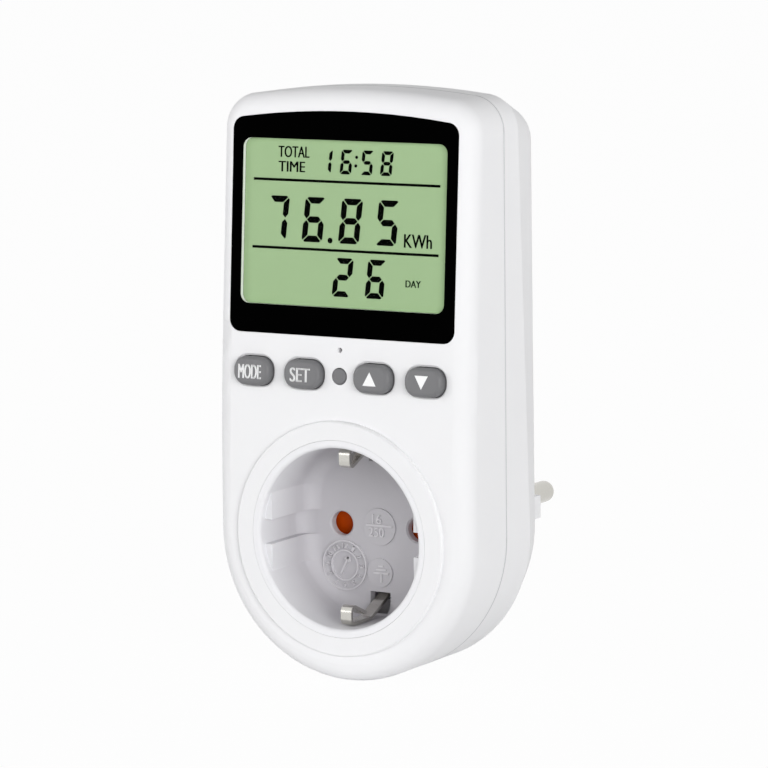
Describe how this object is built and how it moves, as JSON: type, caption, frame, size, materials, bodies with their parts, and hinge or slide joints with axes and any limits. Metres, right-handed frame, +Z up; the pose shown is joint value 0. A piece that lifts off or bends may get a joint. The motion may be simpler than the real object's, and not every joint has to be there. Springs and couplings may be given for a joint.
{
  "type": "plug-in energy meter",
  "caption": "Plug-in energy monitor: a wall plug with side earth contacts at the back, a recessed shuttered socket below, and a leaning display with push keys above.",
  "frame": {"origin": "centre of the plug face, midway between the two pins, on the axis that the plug and the socket share", "axes": "+X to the right of someone who faces the display, +Y back into the wall along the pins, +Z up"},
  "size_m": [0.062, 0.0764, 0.1257],
  "materials": {
    "housing_white": "fine satin moulding",
    "insert_white": "fine satin moulding",
    "shutter_orange": "satin",
    "key_grey": "satin",
    "window_clear": "clear, polished",
    "mask_black": "black print on film",
    "lcd_green": "grey-green reflective display",
    "light_guide": "frosted",
    "strip_rubber": "silicone elastomer",
    "nickel": "nickel plated",
    "brass_bare": "rolled strip",
    "spring_steel": "bright wire",
    "screw_steel": "zinc plated",
    "board_green": "solder resist",
    "chip_black": "moulded epoxy",
    "can_silver": "drawn can",
    "box_yellow": "moulded box",
    "disc_blue": "dipped coating",
    "sleeve_dark": "shrink sleeve",
    "sleeve_green": "shrink sleeve",
    "lamp_red": "tinted lamp body",
    "plunger_ivory": "plain moulding"
  },
  "bodies": {
    "meter": {"front_housing": "housing_white", "rear_housing": "housing_white", "socket_insert": "insert_white", "socket_carrier": "insert_white", "shutter_spring": "spring_steel", "earth_strap": "nickel", "plug_earth_strap": "nickel", "earth_link": "brass_bare", "live_pin": "nickel", "neutral_pin": "nickel", "pin_clamp": "insert_white", "live_contact": "brass_bare", "neutral_contact": "brass_bare", "live_supply_bus": "brass_bare", "live_outlet_bus": "brass_bare", "neutral_supply_bus": "brass_bare", "neutral_outlet_bus": "brass_bare", "display_window": "window_clear", "display_mask": "mask_black", "lcd_holder": "insert_white", "lcd_glass": "lcd_green", "lcd_backlight": "light_guide", "connector_strip": "strip_rubber", "control_board": "board_green", "controller_chip": "chip_black", "crystal": "can_silver", "key_switches": "chip_black", "indicator_led": "lamp_red", "power_board": "board_green", "current_shunt": "can_silver", "mains_capacitor": "box_yellow", "smoothing_capacitor": "sleeve_dark", "varistor": "disc_blue", "metering_chip": "chip_black", "backup_battery": "sleeve_green", "link_header": "chip_black", "housing_screws": "screw_steel", "control_board_screws": "screw_steel", "power_board_screws": "screw_steel", "clamp_screws": "screw_steel"},
    "mode_key": {"mode_button": "key_grey", "mode_plunger": "plunger_ivory"},
    "set_key": {"set_button": "key_grey", "set_plunger": "plunger_ivory"},
    "up_key": {"up_button": "key_grey", "up_plunger": "plunger_ivory"},
    "down_key": {"down_button": "key_grey", "down_plunger": "plunger_ivory"},
    "reset_key": {"reset_button": "key_grey", "reset_plunger": "plunger_ivory"},
    "shutter": {"shutter": "shutter_orange"}
  },
  "joints": [
    {"name": "mode_press", "type": "slide", "parent": "meter", "child": "mode_key", "axis": [0, 0.9978, -0.0663], "range_m": [0, 0.0006], "stiffness_N_per_m": 1500, "springref_m": -0.001},
    {"name": "set_press", "type": "slide", "parent": "meter", "child": "set_key", "axis": [0, 0.9978, -0.0663], "range_m": [0, 0.0006], "stiffness_N_per_m": 1500, "springref_m": -0.001},
    {"name": "up_press", "type": "slide", "parent": "meter", "child": "up_key", "axis": [0, 0.9978, -0.0663], "range_m": [0, 0.0006], "stiffness_N_per_m": 1500, "springref_m": -0.001},
    {"name": "down_press", "type": "slide", "parent": "meter", "child": "down_key", "axis": [0, 0.9978, -0.0663], "range_m": [0, 0.0006], "stiffness_N_per_m": 1500, "springref_m": -0.001},
    {"name": "reset_press", "type": "slide", "parent": "meter", "child": "reset_key", "axis": [0, 0.9978, -0.0663], "range_m": [0, 0.0006], "stiffness_N_per_m": 1500, "springref_m": -0.001},
    {"name": "shutter_turn", "type": "hinge", "parent": "meter", "child": "shutter", "pos_m": [0, -0.036, 0], "axis": [0, 1, 0], "range_deg": [0, 45], "stiffness_Nm_per_rad": 0.02, "springref_deg": -11.46, "deforming": ["shutter_spring"]}
  ]
}
